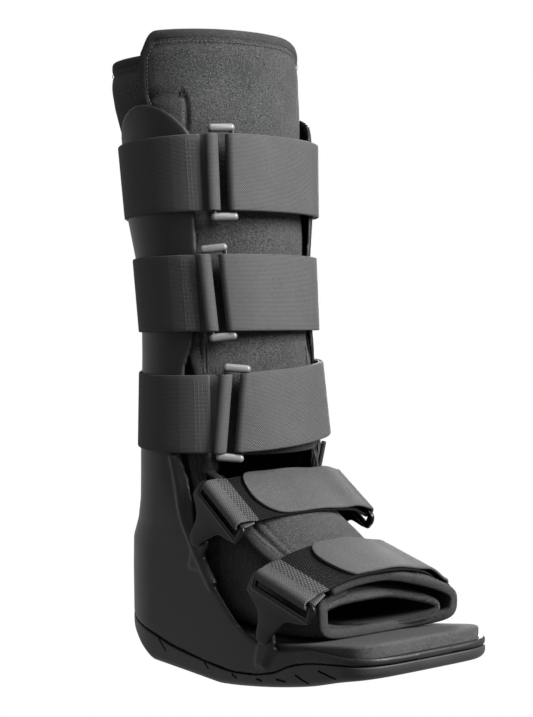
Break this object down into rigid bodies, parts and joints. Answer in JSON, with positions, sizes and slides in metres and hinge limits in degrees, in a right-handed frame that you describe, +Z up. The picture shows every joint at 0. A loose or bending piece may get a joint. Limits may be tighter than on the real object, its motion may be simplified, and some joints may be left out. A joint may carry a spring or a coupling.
{
  "type": "medical walking boot",
  "caption": "Tall walking boot with rigid shell, rocker sole, padded liners, insole and webbing straps through buckles and rings, open at the top and the toe.",
  "frame": {"origin": "middle of the boot's footprint box, at the ground", "axes": "+Z up the leg, the toe points to -Y, the buckles are on the -X side"},
  "size_m": [0.1374, 0.3048, 0.43],
  "materials": {
    "shell_plastic": "fine matte black moulding",
    "ring_plastic": "glossy black",
    "buckle_plastic": "grey, softly polished",
    "sole_rubber": "dark satin rubber",
    "liner_cloth": "brushed charcoal cloth over foam",
    "insole_foam": "grey foam",
    "strap_webbing": "woven dark grey webbing"
  },
  "bodies": {
    "root": {"shell": "shell_plastic", "outsole": "sole_rubber", "insole": "insole_foam", "leg_liner": "liner_cloth", "foot_liner": "liner_cloth", "upper_strap_anchor": "strap_webbing", "upper_strap_front": "strap_webbing", "upper_buckle": "buckle_plastic", "middle_strap_anchor": "strap_webbing", "middle_strap_front": "strap_webbing", "middle_buckle": "buckle_plastic", "lower_strap_anchor": "strap_webbing", "lower_strap_front": "strap_webbing", "lower_buckle": "buckle_plastic", "near_instep_ring": "ring_plastic", "near_forefoot_ring": "ring_plastic", "far_instep_ring": "ring_plastic", "far_forefoot_ring": "ring_plastic", "instep_strap": "strap_webbing", "forefoot_strap": "strap_webbing"}
  },
  "joints": []
}
